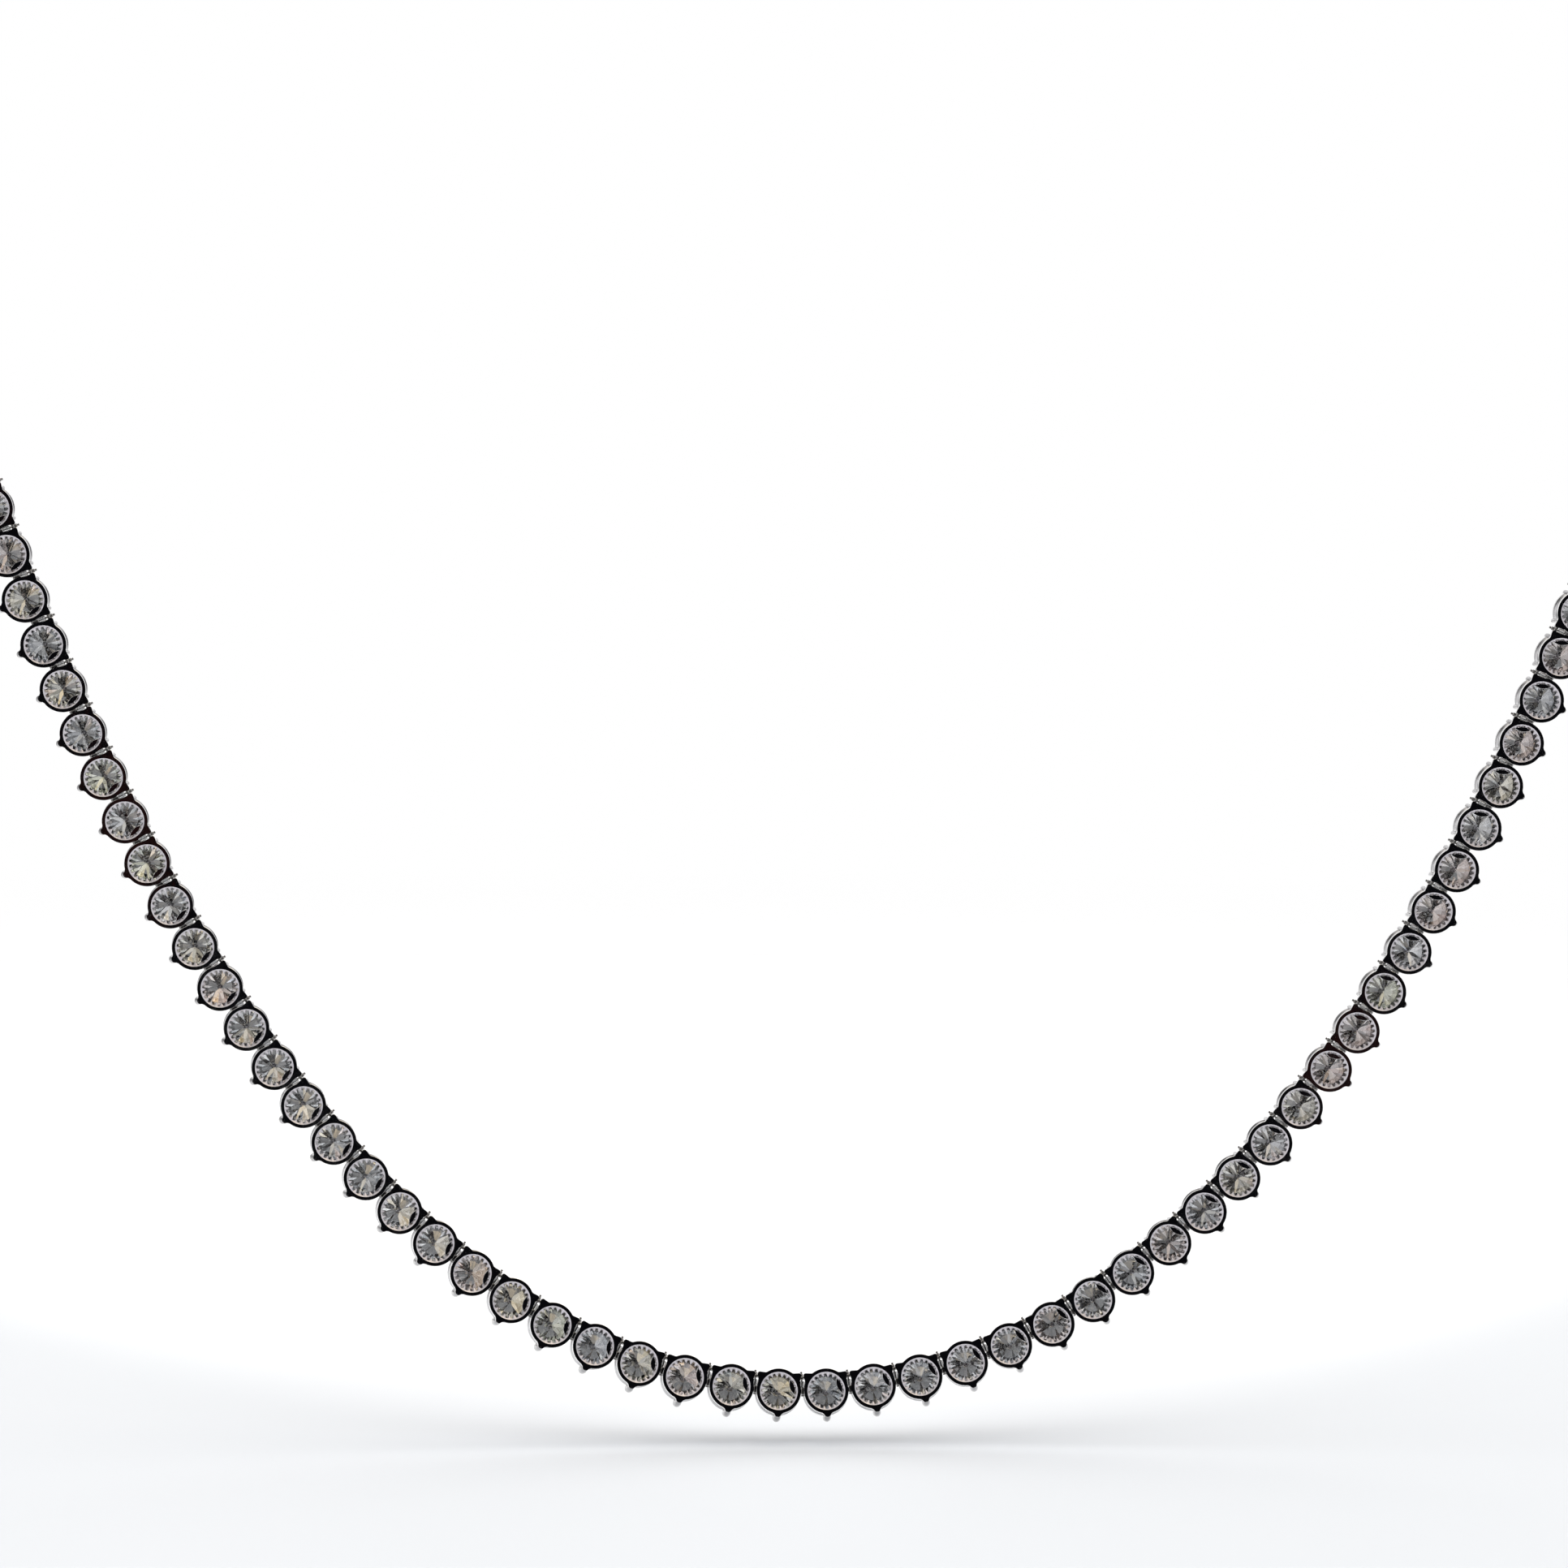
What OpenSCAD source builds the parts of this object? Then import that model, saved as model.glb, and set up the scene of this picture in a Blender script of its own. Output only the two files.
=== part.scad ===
// Riviere necklace: one unbroken row of equal round stones, each in its own
// open three-claw setting, hinged to the next all the way round to the clasp.
//
// Sizes are millimetres. +Z is up and the backs of the settings face -Y, so
// looking along +Y shows the necklace from behind. The origin is the middle of
// the clasp's underside, where the necklace rests on the nape of a neck.
//
// The front hangs as a free chain and the rest rises over it to the nape.
// Each setting is drawn flat, back down, and then laid along the hinge line.

/* [Row] */
// From one hinge pin to the next
pitch = 4; // [3:0.1:6]
// Settings on each side of the middle
per_side = 56; // [20:1:60]
// Of those, the settings that hang as a free chain
hung_per_side = 26; // [10:1:40]

/* [Hang] */
// Radius of the free chain at its lowest point
sag_radius = 39.2; // [25:0.1:80]
// From the lowest pin up to the nape
rise = 140; // [100:1:200]
// From the hanging front back to the nape
reach = 30; // [0:1:80]
// Length of the handles that shape the way up to the nape
handle = 52.35; // [20:0.05:90]
// How far the lowest settings roll forward, in degrees
roll_forward = 18; // [0:1:30]
// How far the settings have turned to face outward at the nape, in degrees
turn_out = 90; // [0:1:120]

/* [Stone] */
// Stone diameter
stone_d = 3.5; // [2:0.05:5]
// Table width as a share of the stone
table_share = 0.56; // [0.5:0.01:0.65]
// Crown height as a share of the stone
crown_share = 0.15; // [0.1:0.005:0.2]
// Pavilion depth as a share of the stone
pavilion_share = 0.43; // [0.4:0.005:0.46]
// Height of the culet above the setting's back face
culet_z = 0.45; // [0.2:0.05:1]

/* [Back ring] */
// Radius of the opening in the back
opening_r = 1.63; // [1.2:0.01:2]
// Outer radius of the back ring
ring_r = 1.9; // [1.5:0.01:2.4]
// Depth of the back ring
ring_h = 0.42; // [0.2:0.01:0.8]
// How far a lug reaches along the row
lug_x = 1.86; // [1.5:0.01:1.95]
// How far a lug reaches inward
lug_y = 1.66; // [1.3:0.01:2]

/* [Front rail] */
// Outer radius of the rail that holds the stone
rail_r = 1.93; // [1.6:0.01:1.95]
// Inner radius of the rail
rail_in_r = 1.42; // [1.2:0.01:1.6]
// Start of the rail above the back face
rail_z = 1.26; // [1:0.01:1.6]
// Space between stone and metal
stone_gap = 0.13;

/* [Claws] */
// Width of a claw
claw_w = 0.56; // [0.4:0.01:1]
// Thickness of a claw from the stone outward
claw_t = 0.55; // [0.3:0.01:0.8]
// How far out a claw's foot reaches at the back face
claw_foot_r = 2.23; // [2:0.01:2.5]
// How far a claw bends over the stone
claw_over = 0.36; // [0.2:0.01:0.6]
// Direction of the two inner claws, in degrees from the row
claw_angle = 56; // [40:1:70]
// Top of a claw above the back face
claw_top = 2.62; // [2.4:0.01:3]

/* [Hinge] */
// How far inward the hinge's middle is
hinge_y = 0.7; // [0.3:0.01:1]
// Height of the hinge pin above the back face
hinge_z = 0.86; // [0.7:0.01:1.1]
// Pin diameter
pin_d = 0.2; // [0.15:0.01:0.4]
// Pin head diameter
pin_head_d = 0.32; // [0.2:0.01:0.6]
// Bore through the knuckle
bore_d = 0.47; // [0.3:0.01:0.7]
// Knuckle diameter
knuckle_d = 0.58; // [0.5:0.01:0.9]
// Knuckle length along the pin
knuckle_l = 0.56; // [0.3:0.01:0.8]
// Diameter of the two ears
ear_d = 0.52; // [0.4:0.01:0.8]
// Space between knuckle and ears
ear_gap = 0.14; // [0.1:0.01:0.3]
// Length of the ear on the outer side
outer_ear_l = 0.38; // [0.2:0.01:0.6]
// Length of the ear on the inner side
inner_ear_l = 0.24; // [0.15:0.01:0.4]

/* [Clasp] */
// Width of the clasp across the row
clasp_w = 4.2; // [3:0.1:8]
// Thickness of the clasp
clasp_h = 1.72; // [1.2:0.01:3]

/* [Hidden] */
$fn = 48;
stone_r = stone_d / 2;
table_r = table_share * stone_r;
girdle_z = culet_z + pavilion_share * stone_d;
table_z = girdle_z + crown_share * stone_d;
pavilion_slope = (girdle_z - culet_z) / stone_r;
crown_slope = (table_z - girdle_z) / (stone_r - table_r);
hung = hung_per_side * pitch;
row_half = per_side * pitch;
way_up = row_half + pitch - hung;
nape = [0, hinge_y, hinge_z];

metal_colour = [0.80, 0.80, 0.79];
stone_colour = [0.86, 0.88, 0.90];

// The hinge line, by the distance along it from the lowest pin

function arc_sinh(v) = ln(v + sqrt(v * v + 1));
function unit(v) = v / norm(v);

// A free chain hangs as a catenary.
function free_chain(d) = [
    sag_radius * arc_sinh(d / sag_radius),
    nape[1] + reach,
    nape[2] - rise + sqrt(sag_radius * sag_radius + d * d) - sag_radius
];

// From there one smooth curve leads up and back to the nape.
hung_end = free_chain(hung);
hung_way = unit([sag_radius, 0, hung]);
bend_a = hung_end + handle * hung_way;
bend_b = nape + handle * [1, 0, 0];
function way_up_at(u) =
    pow(1 - u, 3) * hung_end
    + 3 * pow(1 - u, 2) * u * bend_a
    + 3 * (1 - u) * u * u * bend_b
    + pow(u, 3) * nape;

// The curve's own distance at each step lets the pins be spaced evenly.
way_steps = 300;
way_table = [
    for (
        i = 0, gone = 0;
        i <= way_steps;
        i = i + 1,
        gone = gone + norm(way_up_at(i / way_steps) - way_up_at((i - 1) / way_steps))
    )
    [gone, i / way_steps]
];

function right_half(d) = d <= hung ? free_chain(d) : way_up_at(lookup(d - hung, way_table));
function hinge_at(d) =
    d >= 0 ? right_half(d) : [-right_half(-d)[0], right_half(-d)[1], right_half(-d)[2]];

// How far a setting is turned about the row: rolled forward at the bottom,
// where its weight pulls, and turned outward on the way to the nape
function sag_roll(d) = roll_forward * pow(sag_radius, 2) / (pow(sag_radius, 2) + d * d);
function turned(d) =
    abs(d) <= hung
    ? sag_roll(d)
    : let (part = (abs(d) - hung) / way_up)
        sag_roll(hung) * (1 - part) + turn_out * part;

// Lays children drawn flat between two pins on the hinge line. Their X runs
// against the row, their Y points into the loop and their Z to the front.
module lay_between(from_pin, to_pin, turn) {
    along = unit(to_pin - from_pin);
    level = unit([0, 1, 0] - along[1] * along);
    front = cos(turn) * level + sin(turn) * cross(level, along);
    inward = cross(front, -along);
    middle = (from_pin + to_pin) / 2 - hinge_y * inward - hinge_z * front;
    multmatrix([
        [-along[0], inward[0], front[0], middle[0]],
        [-along[1], inward[1], front[1], middle[1]],
        [-along[2], inward[2], front[2], middle[2]],
        [0, 0, 0, 1]
    ])
    children();
}

// One half of the row: side is -1 for the left as the back is seen, 1 for the
// right
module half_row(side) {
    for (i = [0 : per_side - 1]) {
        d = side > 0 ? i * pitch : -(i + 1) * pitch;
        lay_between(hinge_at(d), hinge_at(d + pitch), turned(d + pitch / 2))
        children();
    }
}

// The pieces of one setting, back face down at z = 0

// Flat ring round the opening in the back
module back_ring() {
    rotate_extrude()
    translate([opening_r, 0])
    square([ring_r - opening_r, ring_h]);
}

// Rail under the stone's edge, bevelled inward at the back, with a seat that
// stays clear of the slope of the stone
module front_rail() {
    seat_in = culet_z + pavilion_slope * rail_in_r - stone_gap * 1.4;
    rotate_extrude()
    polygon([
        [rail_in_r, seat_in - 0.05],
        [rail_in_r + 0.2, rail_z],
        [rail_r, rail_z + 0.04],
        [rail_r, rail_z + 0.54],
        [rail_in_r, seat_in]
    ]);
}

// Flat corner between ring and hinge
module lug(side) {
    linear_extrude(ring_h)
    polygon([
        [side * lug_x, 0.35],
        [side * lug_x, lug_y - 0.16],
        [side * (lug_x - 0.14), lug_y],
        [side * (lug_x - 0.5), lug_y],
        [side * 1.08, 1.5],
        [side * 1.42, 0.98],
        [side * 1.72, 0.35]
    ]);
}

// Claw with a narrow foot that starts at foot_z, upright along the stone's edge
// and bent over it
module claw(angle, foot_z) {
    edge_r = stone_r + stone_gap;
    over = girdle_z + stone_gap * sqrt(1 + crown_slope * crown_slope);
    tip_r = edge_r - claw_over;
    outer_r = edge_r + claw_t;
    rotate([0, 0, angle])
    translate([0, claw_w / 2, 0])
    rotate([90, 0, 0])
    linear_extrude(claw_w)
    polygon([
        [edge_r - 0.07, foot_z],
        [claw_foot_r, foot_z],
        [outer_r, 0.8],
        [outer_r, claw_top - 0.3],
        [outer_r - 0.25, claw_top],
        [tip_r, claw_top],
        [tip_r, over + crown_slope * (claw_over - stone_gap)],
        [edge_r, over - crown_slope * stone_gap],
        [edge_r - 0.07, girdle_z - 0.2]
    ]);
}

// Round bar along the hinge pin's line
module along_pin(x, y, length, d) {
    translate([x, y, hinge_z])
    rotate([-90, 0, 0])
    cylinder(d = d, h = length, $fn = 32);
}

// Where the ears and the knuckle begin and end along the pin
knuckle_y = hinge_y - knuckle_l / 2;
inner_ear_y = hinge_y + knuckle_l / 2 + ear_gap;
outer_ear_y = knuckle_y - ear_gap - outer_ear_l;

// Two ears and the pin that is riveted through them, at the right
module ears_and_pin(x) {
    along_pin(x, outer_ear_y, outer_ear_l, ear_d);
    along_pin(x, inner_ear_y, inner_ear_l, ear_d);
    along_pin(x, outer_ear_y + 0.1, lug_y - outer_ear_y, pin_d);
    along_pin(x, lug_y + 0.02, 0.14, pin_head_d);
}

// Brackets that carry the ears, clear of the neighbour's knuckle
module ear_brackets() {
    translate([1.67, outer_ear_y + 0.02, 0.3])
    cube([0.23, outer_ear_l - 0.04, rail_z - 0.3 + 0.1]);
    translate([1.5, inner_ear_y + 0.02, 0.3])
    cube([0.4, inner_ear_l - 0.04, hinge_z + ear_d * 0.35 - 0.3]);
}

// Knuckle that turns on the neighbour's pin, at the left
module knuckle(x) {
    along_pin(x, knuckle_y, knuckle_l, knuckle_d);
}

module knuckle_bracket() {
    translate([-1.76, knuckle_y + 0.02, 0.3])
    cube([0.16, knuckle_l - 0.04, rail_z - 0.3 + 0.1]);
}

module knuckle_bore(x) {
    along_pin(x, knuckle_y - 0.1, knuckle_l + 0.2, bore_d);
}

module setting() {
    difference() {
        union() {
            back_ring();
            front_rail();
            lug(-1);
            lug(1);
            claw(270, 0);
            claw(claw_angle, ring_h - 0.1);
            claw(180 - claw_angle, ring_h - 0.1);
            ears_and_pin(pitch / 2);
            ear_brackets();
            knuckle(-pitch / 2);
            knuckle_bracket();
        }
        knuckle_bore(-pitch / 2);
    }
}

// Round cut stone: table, eight stars and sixteen halves above the edge, and
// sixteen long facets below it that meet at the culet
function round_at(r, angle, z) = [r * cos(angle), r * sin(angle), z];
stone_points = concat(
    [for (i = [0 : 7]) round_at(table_r, 45 * i, table_z)],
    [for (i = [0 : 15]) round_at(stone_r, 22.5 * i, girdle_z)],
    [[0, 0, culet_z]]
);
stone_faces = concat(
    [[7, 6, 5, 4, 3, 2, 1, 0]],
    [for (i = [0 : 7]) [i, (i + 1) % 8, 9 + 2 * i]],
    [for (i = [0 : 7]) [i, 9 + 2 * i, 8 + 2 * i]],
    [for (i = [0 : 7]) [i, 8 + 2 * i, 8 + (2 * i + 15) % 16]],
    [for (i = [0 : 15]) [8 + i, 8 + (i + 1) % 16, 24]]
);

module stone() {
    polyhedron(stone_points, stone_faces);
}

module settings_left() {
    color(metal_colour)
    half_row(-1)
    setting();
}

module settings_right() {
    color(metal_colour)
    half_row(1)
    setting();
}

module stones_left() {
    color(stone_colour)
    half_row(-1)
    stone();
}

module stones_right() {
    color(stone_colour)
    half_row(1)
    stone();
}

// Plain box clasp at the nape, as long as two settings, with the same ears and
// knuckle at its ends
module clasp() {
    last_pin = hinge_at(row_half);
    end_x = last_pin[0];
    body_x = end_x - 0.42;
    body_y = hinge_y - clasp_w / 2;
    color(metal_colour)
    lay_between(last_pin, hinge_at(-row_half), turn_out)
    difference() {
        union() {
            translate([0, body_y, 0])
            rotate([-90, 0, 0])
            linear_extrude(clasp_w)
            polygon([
                [-body_x + 0.2, 0],
                [body_x - 0.2, 0],
                [body_x, -0.2],
                [body_x, 0.2 - clasp_h],
                [body_x - 0.2, -clasp_h],
                [0.2 - body_x, -clasp_h],
                [-body_x, 0.2 - clasp_h],
                [-body_x, -0.2]
            ]);
            ears_and_pin(end_x);
            knuckle(-end_x);
            translate([body_x - 0.1, outer_ear_y + 0.02, hinge_z - ear_d * 0.35])
            cube([0.4, outer_ear_l - 0.04, ear_d * 0.7]);
            translate([body_x - 0.1, inner_ear_y + 0.02, hinge_z - ear_d * 0.35])
            cube([0.4, inner_ear_l - 0.04, ear_d * 0.7]);
            translate([-body_x - 0.17, knuckle_y + 0.02, hinge_z - knuckle_d * 0.275])
            cube([0.27, knuckle_l - 0.04, knuckle_d * 0.55]);
        }
        knuckle_bore(-end_x);
    }
}

settings_left();
settings_right();
stones_left();
stones_right();
clasp();
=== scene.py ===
# %% [markdown]
# # A riviere necklace, seen from behind
#
# A riviere is a row of equal stones, each held in its own small claw setting
# and hinged to the next one. This lesson dresses the exact model of such a
# necklace: fine metalwork, full brilliant cut stones, and the light tent in
# which it was photographed. The photograph shows the back of the front row.
#
# The frame comes first. It holds the exact solids, all in metres, with the
# origin where the necklace hangs on the nape and +Z up.

# %% Load the frame
from math import asinh, cos, pi, radians, sin, sqrt

import bmesh
import bpy
from mathutils import Matrix, Vector


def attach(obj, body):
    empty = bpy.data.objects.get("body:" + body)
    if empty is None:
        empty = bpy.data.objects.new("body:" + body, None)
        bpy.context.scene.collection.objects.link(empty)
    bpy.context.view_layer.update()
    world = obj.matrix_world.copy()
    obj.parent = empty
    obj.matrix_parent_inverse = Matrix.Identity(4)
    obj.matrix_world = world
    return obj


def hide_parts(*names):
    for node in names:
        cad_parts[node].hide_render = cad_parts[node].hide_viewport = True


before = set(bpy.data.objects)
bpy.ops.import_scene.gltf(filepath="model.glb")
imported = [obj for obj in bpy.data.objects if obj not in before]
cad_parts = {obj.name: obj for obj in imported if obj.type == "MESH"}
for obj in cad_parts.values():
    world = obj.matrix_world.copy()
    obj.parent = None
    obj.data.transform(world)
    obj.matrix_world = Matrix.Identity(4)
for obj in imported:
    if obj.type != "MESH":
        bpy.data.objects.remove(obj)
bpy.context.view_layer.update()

MM = 0.001

# %% [markdown]
# ## The hinge line
#
# Every setting hangs between two hinge pins, so the pins' line rules the whole
# row. The front hangs as a free chain does, in a catenary. From its two ends
# one smooth curve leads up and back to the nape. A curve object could be drawn
# by eye, but the sizes are known, so the same rule as in the exact model gives
# the pins, in millimetres.

# %% Pins along the hinge line
PITCH = 4.0  # from pin to pin
PER_SIDE = 56  # settings on each side of the lowest pin
HUNG = 26 * PITCH  # length that hangs free on each side
ROW_HALF = PER_SIDE * PITCH
WAY_UP = ROW_HALF + PITCH - HUNG  # from the free chain's end to the clasp's middle
SAG_RADIUS = 39.2  # radius of the free chain at its lowest point
RISE = 140.0  # from the lowest pin up to the nape
REACH = 30.0  # from the nape forward to the hanging front
HANDLE = 52.35  # handles of the smooth curve, which set its length
HINGE_Y = 0.7  # from a setting's middle in to its pins
HINGE_Z = 0.86  # from a setting's back forward to its pins
NAPE = Vector((0, HINGE_Y, HINGE_Z))


def free_chain(distance):
    """The hinge line at a distance from the lowest pin, while it hangs free."""
    rise = sqrt(SAG_RADIUS ** 2 + distance ** 2) - SAG_RADIUS
    return Vector((SAG_RADIUS * asinh(distance / SAG_RADIUS), NAPE.y + REACH, NAPE.z - RISE + rise))


HUNG_END = free_chain(HUNG)
BEND_A = HUNG_END + HANDLE * Vector((SAG_RADIUS, 0, HUNG)).normalized()
BEND_B = NAPE + HANDLE * Vector((1, 0, 0))


def way_up_at(part):
    """The smooth curve from the end of the free chain, at 0, to the nape, at 1."""
    rest = 1 - part
    low = rest ** 3 * HUNG_END + 3 * rest ** 2 * part * BEND_A
    return low + 3 * rest * part ** 2 * BEND_B + part ** 3 * NAPE


STEPS = 300
travelled = [0.0]
for step in range(STEPS):
    gap = way_up_at((step + 1) / STEPS) - way_up_at(step / STEPS)
    travelled.append(travelled[-1] + gap.length)


def hinge_at(distance):
    """The hinge line at a distance from the lowest pin, less than 0 on the left."""
    away = abs(distance)
    if away <= HUNG:
        spot = free_chain(away)
    else:
        goal = away - HUNG
        step = next((k for k in range(STEPS) if travelled[k + 1] >= goal), STEPS - 1)
        part = (goal - travelled[step]) / (travelled[step + 1] - travelled[step])
        spot = way_up_at((step + min(part, 1.0)) / STEPS)
    return Vector((spot.x if distance >= 0 else -spot.x, spot.y, spot.z))


print("lowest pin:", hinge_at(0), "last pin:", hinge_at(ROW_HALF), "mm")

# %% [markdown]
# ## A seat for every setting
#
# A seat is the place of one setting: its middle, the way its front faces and
# the way it points along the row. At the bottom the weight of the stones rolls
# the settings forward, and on the way to the nape they turn to face outward,
# as they do on a neck. The seats are kept as the points of a mesh, with two
# named attributes for the directions, which Geometry Nodes can read.

# %% Seats as points with directions
ROLL_FORWARD = 18.0  # degrees, at the lowest pin
TURN_OUT = 90.0  # degrees, at the nape


def turned(distance):
    """How far a setting has turned about the row, in degrees."""
    away = abs(distance)
    roll = ROLL_FORWARD * SAG_RADIUS ** 2 / (SAG_RADIUS ** 2 + min(away, HUNG) ** 2)
    if away <= HUNG:
        return roll
    part = (away - HUNG) / WAY_UP
    return roll * (1 - part) + TURN_OUT * part


def seat_from(start):
    """The middle, front and side of the setting that starts at this distance."""
    from_pin = hinge_at(start)
    to_pin = hinge_at(start + PITCH)
    along = (to_pin - from_pin).normalized()
    level = (Vector((0, 1, 0)) - along.y * along).normalized()
    turn = radians(turned(start + PITCH / 2))
    front = cos(turn) * level + sin(turn) * level.cross(along)
    inward = front.cross(-along)
    middle = (from_pin + to_pin) / 2 - HINGE_Y * inward - HINGE_Z * front
    return middle * MM, front, -along


seats = [seat_from(PITCH * k) for k in range(-PER_SIDE, PER_SIDE)]

seat_mesh = bpy.data.meshes.new("seats")
seat_mesh.from_pydata([middle for middle, front, side in seats], [], [])
for name, column in (("front", 1), ("side", 2)):
    kept = seat_mesh.attributes.new(name, "FLOAT_VECTOR", "POINT")
    for k, seat in enumerate(seats):
        kept.data[k].vector = seat[column]
print("seats:", len(seats))

# %% [markdown]
# ## Setting a piece at every seat
#
# Each small part of a setting is drawn once, flat on its back. A Geometry Nodes
# tree then sets it at every seat. Copying in a loop would work too, but the
# tree keeps the rule in one place. Its inputs are the seats, the pattern piece,
# a finish, and the largest turn about the piece's own axis. The turn is chosen
# anew at every seat, because setters don't line up the facets of one stone with
# the next.

# %% The tree that fills the row
def row_tree():
    """Sets one pattern piece at every seat, as plain mesh."""
    tree = bpy.data.node_groups.new("set a piece at every seat", "GeometryNodeTree")
    for name, kind in (
        ("Seats", "NodeSocketGeometry"),
        ("Pattern", "NodeSocketObject"),
        ("Largest turn", "NodeSocketFloat"),
        ("Seed", "NodeSocketInt"),
        ("Finish", "NodeSocketMaterial"),
    ):
        tree.interface.new_socket(name=name, in_out="INPUT", socket_type=kind)
    tree.interface.new_socket(name="Row", in_out="OUTPUT", socket_type="NodeSocketGeometry")
    add = tree.nodes.new
    link = tree.links.new
    given = add("NodeGroupInput")
    result = add("NodeGroupOutput")
    pattern = add("GeometryNodeObjectInfo")
    link(given.outputs["Pattern"], pattern.inputs["Object"])
    facing = add("FunctionNodeAxesToRotation")
    facing.primary_axis = "Z"
    facing.secondary_axis = "X"
    for name, socket in (("front", facing.inputs[0]), ("side", facing.inputs[1])):
        way = add("GeometryNodeInputNamedAttribute")
        way.data_type = "FLOAT_VECTOR"
        way.inputs["Name"].default_value = name
        link(way.outputs["Attribute"], socket)
    chance = add("FunctionNodeRandomValue")
    chance.data_type = "FLOAT"
    link(given.outputs["Largest turn"], chance.inputs[3])
    link(given.outputs["Seed"], chance.inputs["Seed"])
    own_turn = add("FunctionNodeAxisAngleToRotation")
    own_turn.inputs["Axis"].default_value = (0, 0, 1)
    link(chance.outputs[1], own_turn.inputs["Angle"])
    both = add("FunctionNodeRotateRotation")
    both.rotation_space = "LOCAL"
    link(facing.outputs[0], both.inputs[0])
    link(own_turn.outputs[0], both.inputs[1])
    place = add("GeometryNodeInstanceOnPoints")
    link(given.outputs["Seats"], place.inputs["Points"])
    link(pattern.outputs["Geometry"], place.inputs["Instance"])
    link(both.outputs[0], place.inputs["Rotation"])
    real = add("GeometryNodeRealizeInstances")
    link(place.outputs["Instances"], real.inputs["Geometry"])
    finish = add("GeometryNodeSetMaterial")
    link(real.outputs["Geometry"], finish.inputs["Geometry"])
    link(given.outputs["Finish"], finish.inputs["Material"])
    link(finish.outputs["Geometry"], result.inputs["Row"])
    return tree


ROW_TREE = row_tree()
SETTING_NODES = ("settings_left", "settings_right")
STONE_NODES = ("stones_left", "stones_right")


def set_in_row(name, pattern, finish, nodes, turn=0.0, seed=0):
    """Makes one piece for the whole row: the pattern at every seat, as a plain mesh."""
    bpy.context.scene.collection.objects.link(pattern)
    row = bpy.data.objects.new("row", seat_mesh.copy())
    bpy.context.scene.collection.objects.link(row)
    filled = row.modifiers.new("row", "NODES")
    filled.node_group = ROW_TREE
    values = {"Pattern": pattern, "Largest turn": turn, "Seed": seed, "Finish": finish}
    for item in ROW_TREE.interface.items_tree:
        if item.in_out == "INPUT" and item.name in values:
            filled[item.identifier] = values[item.name]
    dressed = row.evaluated_get(bpy.context.evaluated_depsgraph_get())
    mesh = bpy.data.meshes.new_from_object(dressed)
    mesh.name = name
    piece = bpy.data.objects.new(name, mesh)
    bpy.context.scene.collection.objects.link(piece)
    bpy.data.objects.remove(row)
    bpy.data.objects.remove(pattern)
    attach(piece, "root")
    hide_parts(*nodes)
    mesh.calc_loop_triangles()
    print(name, "triangles:", len(mesh.loop_triangles))


# %% [markdown]
# ## Two ways to shape metal
#
# Nearly every part of a setting is a skin over a few loops: a turned ring, a
# prong that swells towards its head, a round bar. One helper stretches such a
# skin, and another makes small blocks with eased edges. Both give points and
# faces in millimetres. The last two helpers turn them into a pattern piece
# whose faces point outward, and set a metal one in the row.

# %% Skins and blocks
def skin(loops, wrap=False):
    """Stretches a skin over closed loops of points; without wrap it is capped."""
    count = len(loops[0])
    points = [Vector(point) for loop in loops for point in loop]
    faces = []
    for i in range(len(loops) if wrap else len(loops) - 1):
        a = i * count
        b = (i + 1) % len(loops) * count
        for j in range(count):
            k = (j + 1) % count
            faces.append((a + j, a + k, b + k, b + j))
    if not wrap:
        faces.append(tuple(range(count)))
        faces.append(tuple(range(len(points) - count, len(points))))
    return points, faces


def ways_at(degrees):
    """The ways outward and sideways, at an angle about the setting's axis."""
    outward = Vector((cos(radians(degrees)), sin(radians(degrees)), 0))
    return outward, Vector((-outward.y, outward.x, 0))


def circle(middle, across, upward, radius, count):
    """A loop of points round middle, in the plane of two directions."""
    turns = [2 * pi * k / count for k in range(count)]
    return [middle + radius * (cos(t) * across + sin(t) * upward) for t in turns]


def turned_ring(profile, count):
    """A profile of (radius, height) turned about the setting's axis."""
    turns = [2 * pi * k / count for k in range(count)]
    return skin([[(r * cos(t), r * sin(t), z) for r, z in profile] for t in turns], wrap=True)


def round_bar(start, end, radius, count=16, ease=0.04):
    """A bar along Y with eased ends."""
    start = Vector(start)
    end = Vector(end)
    way = (end - start).normalized()
    across = Vector((1, 0, 0))
    upward = way.cross(across)
    loops = []
    for middle, size in (
        (start, radius - ease),
        (start + ease * way, radius),
        (end - ease * way, radius),
        (end, radius - ease),
    ):
        loops.append(circle(middle, across, upward, size, count))
    return skin(loops)


def block(low, high, ease=0.04):
    """A block between two corners, with its back and front edges eased."""
    loops = []
    for z, inset in ((low[2], ease), (low[2] + ease, 0), (high[2] - ease, 0), (high[2], ease)):
        x0, x1 = low[0] + inset, high[0] - inset
        y0, y1 = low[1] + inset, high[1] - inset
        loops.append([(x0, y0, z), (x1, y0, z), (x1, y1, z), (x0, y1, z)])
    return skin(loops)


def pattern_piece(name, parts, crease=32):
    """Parts given in millimetres, as one pattern piece in metres."""
    mesh = bpy.data.meshes.new(name)
    shape = bmesh.new()
    for points, faces in parts:
        corners = [shape.verts.new(point * MM) for point in points]
        for face in faces:
            shape.faces.new([corners[k] for k in face])
    bmesh.ops.recalc_face_normals(shape, faces=shape.faces)
    shape.to_mesh(mesh)
    shape.free()
    mesh.shade_smooth()
    mesh.set_sharp_from_angle(angle=radians(crease))
    return bpy.data.objects.new(name, mesh)


def metal_in_row(name, parts, finish):
    """Sets a metal part, given in millimetres, at every seat."""
    pattern = pattern_piece(name + " pattern", parts)
    set_in_row(name, pattern, finish, SETTING_NODES)


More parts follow.
